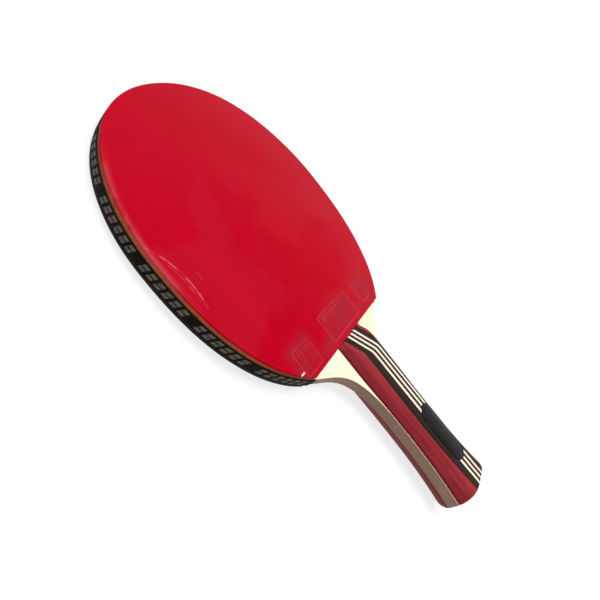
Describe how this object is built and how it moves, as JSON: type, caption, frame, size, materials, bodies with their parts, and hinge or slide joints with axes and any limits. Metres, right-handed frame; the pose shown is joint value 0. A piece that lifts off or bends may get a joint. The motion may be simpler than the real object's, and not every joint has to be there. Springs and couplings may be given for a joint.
{
  "type": "table tennis bat",
  "caption": "Shakehand table tennis bat: laminated wooden blade, red and black sponge rubbers, edge tape and a flared handle of striped, crowned grip scales with a badge.",
  "frame": {"origin": "middle of the whole bat's box: on the centre plane of the handle, in the middle of the blade's thickness and half way from the butt to the tip", "axes": "+Z out of the red playing face, +Y from the handle's butt to the tip of the head, +X across the head, to the right when the red face is seen with the head up"},
  "size_m": [0.1502, 0.2576, 0.0256],
  "materials": {
    "red_rubber": "glossy pimples-in topsheet",
    "black_rubber": "glossy pimples-in topsheet",
    "orange_sponge": "matt open-cell sponge, cut edge",
    "black_sponge": "matt open-cell sponge, cut edge",
    "tape": "woven adhesive edge tape, satin",
    "pale_veneer": "sealed pale face veneer, grain along Y",
    "tan_veneer": "cross veneer, grain along X",
    "core_wood": "light core wood, grain along Y",
    "red_veneer": "dyed and lacquered, grain along Y",
    "dark_veneer": "dyed and lacquered, grain along Y",
    "cream_veneer": "lacquered, grain along Y",
    "badge": "polished, domed"
  },
  "bodies": {
    "root": {"back_grip_cream_left": "cream_veneer", "back_grip_cream_middle": "cream_veneer", "back_grip_cream_right": "cream_veneer", "back_grip_dark_left": "dark_veneer", "back_grip_dark_right": "dark_veneer", "back_grip_dark_thin_left": "dark_veneer", "back_grip_dark_thin_right": "dark_veneer", "back_grip_red_left": "red_veneer", "back_grip_red_right": "red_veneer", "back_sponge": "black_sponge", "back_topsheet": "black_rubber", "blade_back_cross_ply": "tan_veneer", "blade_back_face_ply": "pale_veneer", "blade_core": "core_wood", "blade_front_cross_ply": "tan_veneer", "blade_front_face_ply": "pale_veneer", "edge_tape": "tape", "front_grip_cream_left": "cream_veneer", "front_grip_cream_middle": "cream_veneer", "front_grip_cream_right": "cream_veneer", "front_grip_dark_left": "dark_veneer", "front_grip_dark_right": "dark_veneer", "front_grip_dark_thin_left": "dark_veneer", "front_grip_dark_thin_right": "dark_veneer", "front_grip_red_left": "red_veneer", "front_grip_red_right": "red_veneer", "front_sponge": "orange_sponge", "front_topsheet": "red_rubber", "grip_badge": "badge"}
  },
  "joints": []
}
